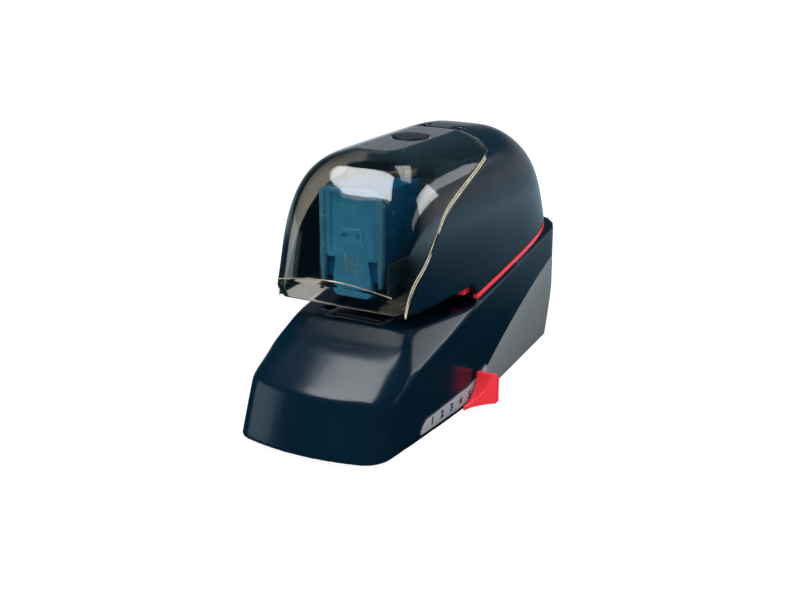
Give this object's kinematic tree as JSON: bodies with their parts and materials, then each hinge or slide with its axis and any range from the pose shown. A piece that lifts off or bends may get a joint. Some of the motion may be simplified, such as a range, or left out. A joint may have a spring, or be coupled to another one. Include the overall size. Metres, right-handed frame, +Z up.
{
  "type": "electric stapler",
  "caption": "Electric office stapler with open paper throat, lift-out staple cassette under a smoked clear hood, sliding depth stop and cam driven head.",
  "frame": {"origin": "centre of the footprint, on the table under the rubber feet", "axes": "+Z up, +Y from the paper throat towards the rear, +X to the right of someone facing the throat"},
  "size_m": [0.121, 0.248, 0.152],
  "materials": {
    "housing_black": "glossy navy black moulding",
    "panel_grey": "fine textured grey moulding",
    "scale_silver": "light grey with printed numbers",
    "red_plastic": "glossy red moulding",
    "smoked_clear": "smoked transparent moulding",
    "cassette_blue": "blue translucent moulding",
    "rail_blue": "lighter blue grey moulding",
    "dark_steel": "blackened steel",
    "bright_steel": "bright steel",
    "plated_steel": "zinc plated",
    "gear_plastic": "natural acetal",
    "rubber": "soft black rubber",
    "black_plastic": "matt black moulding",
    "brass": "turned brass",
    "board_green": "printed board",
    "core_steel": "laminated core"
  },
  "bodies": {
    "housing": {"base_shell": "housing_black", "upper_housing": "housing_black", "right_corner_panel": "panel_grey", "left_corner_panel": "panel_grey", "base_plate": "black_plastic", "base_screws": "plated_steel", "rubber_feet": "rubber", "right_scale_plate": "scale_silver", "left_scale_plate": "scale_silver", "trim_band": "red_plastic", "hinge_pins": "bright_steel", "anvil_plate": "dark_steel", "anvil_block": "dark_steel", "clincher_pins": "bright_steel", "right_chassis_plate": "plated_steel", "left_chassis_plate": "plated_steel", "chassis_spacers": "bright_steel", "throat_liner": "black_plastic", "lower_rod_shelf": "plated_steel", "upper_rod_shelf": "plated_steel", "guide_rods": "bright_steel", "left_return_spring": "bright_steel", "right_return_spring": "bright_steel", "cam_axle": "bright_steel", "lever_axle": "bright_steel", "idler_axle": "bright_steel", "motor": "plated_steel", "button_guide": "black_plastic", "button_spring": "bright_steel", "trigger_bracket": "plated_steel", "trigger_switch": "black_plastic", "mains_inlet": "black_plastic", "switch_frame": "black_plastic", "circuit_board": "board_green", "transformer": "core_steel"},
    "head": {"head_carriage": "plated_steel", "cassette_body": "cassette_blue", "staple_cover": "cassette_blue", "left_cassette_rail": "rail_blue", "right_cassette_rail": "rail_blue", "staple_stack": "bright_steel"},
    "driver": {"driver_block": "bright_steel", "driver_blade": "bright_steel"},
    "lever": {"drive_lever": "dark_steel"},
    "roller": {"cam_roller": "bright_steel"},
    "cam": {"drive_cam": "gear_plastic", "cam_gear": "gear_plastic"},
    "idler": {"idler_gear": "gear_plastic"},
    "pinion": {"motor_pinion": "brass"},
    "button": {"release_button": "black_plastic"},
    "latch": {"hood_latch": "gear_plastic"},
    "hood": {"hood": "smoked_clear"},
    "depth_stop": {"depth_slider": "bright_steel", "paper_stop": "red_plastic", "right_depth_knob": "red_plastic", "left_depth_knob": "red_plastic"},
    "trigger": {"paper_trigger": "black_plastic"},
    "rocker": {"rocker_switch": "black_plastic"},
    "left_flap": {"left_clincher": "bright_steel"},
    "right_flap": {"right_clincher": "bright_steel"}
  },
  "joints": [
    {"name": "cam_turn", "type": "hinge", "parent": "housing", "child": "cam", "pos_m": [0, 0.066, 0.07], "axis": [1, 0, 0], "range_deg": [0, 300.2]},
    {"name": "idler_turn", "type": "hinge", "parent": "housing", "child": "idler", "pos_m": [0, 0.038, 0.04505], "axis": [1, 0, 0], "range_deg": [-1201, 0]},
    {"name": "pinion_turn", "type": "hinge", "parent": "housing", "child": "pinion", "pos_m": [0, 0.01177, 0.03328], "axis": [1, 0, 0], "range_deg": [0, 4324]},
    {"name": "lever_swing", "type": "hinge", "parent": "housing", "child": "lever", "pos_m": [0, 0.026, 0.1], "axis": [1, 0, 0], "range_deg": [0, 17.95]},
    {"name": "roller_spin", "type": "hinge", "parent": "lever", "child": "roller", "pos_m": [0, 0.066, 0.088], "axis": [1, 0, 0], "continuous": true},
    {"name": "head_slide", "type": "slide", "parent": "housing", "child": "head", "axis": [0, 0, -1], "range_m": [0, 0.01], "stiffness_N_per_m": 200, "springref_m": -0.012, "deforming": ["left_return_spring", "right_return_spring"]},
    {"name": "driver_slide", "type": "slide", "parent": "head", "child": "driver", "axis": [0, 0, -1], "range_m": [0, 0.01505]},
    {"name": "right_flap_fold", "type": "hinge", "parent": "housing", "child": "right_flap", "pos_m": [0.013, -0.0635, 0.0572], "axis": [0, 1, 0], "range_deg": [0, 12.05]},
    {"name": "left_flap_fold", "type": "hinge", "parent": "housing", "child": "left_flap", "pos_m": [-0.013, -0.0635, 0.0572], "axis": [0, -1, 0], "range_deg": [0, 12.05]},
    {"name": "button_press", "type": "slide", "parent": "housing", "child": "button", "axis": [0, 0, -1], "range_m": [0, 0.0025], "stiffness_N_per_m": 400, "springref_m": -0.002, "deforming": ["button_spring"]},
    {"name": "latch_slide", "type": "slide", "parent": "housing", "child": "latch", "axis": [0, 1, 0], "range_m": [0, 0.0025]},
    {"name": "hood_lift", "type": "hinge", "parent": "housing", "child": "hood", "pos_m": [0, 0.037, 0.1475], "axis": [-1, 0, 0], "range_deg": [0, 65]},
    {"name": "depth_slide", "type": "slide", "parent": "housing", "child": "depth_stop", "axis": [0, -1, 0], "range_m": [0, 0.044]},
    {"name": "trigger_dip", "type": "hinge", "parent": "housing", "child": "trigger", "pos_m": [0, -0.02, 0.054], "axis": [1, 0, 0], "range_deg": [0, 25], "stiffness_Nm_per_rad": 0.003, "springref_deg": -17.19},
    {"name": "rocker_tilt", "type": "hinge", "parent": "housing", "child": "rocker", "pos_m": [0.0155, 0.1126, 0.03], "axis": [1, 0, 0], "range_deg": [0, 12]}
  ],
  "couplings": [
    {"joint": "cam_turn", "follows": "head_slide", "rad_per_m": 523.6},
    {"joint": "idler_turn", "follows": "head_slide", "rad_per_m": -2094.4},
    {"joint": "pinion_turn", "follows": "head_slide", "rad_per_m": 7539.8},
    {"joint": "lever_swing", "follows": "head_slide", "rad_per_m": 31.25},
    {"joint": "driver_slide", "follows": "head_slide", "ratio": 1.5},
    {"joint": "right_flap_fold", "follows": "head_slide", "rad_per_m": 20.944},
    {"joint": "left_flap_fold", "follows": "head_slide", "rad_per_m": 20.944},
    {"joint": "latch_slide", "follows": "button_press", "ratio": 1}
  ]
}
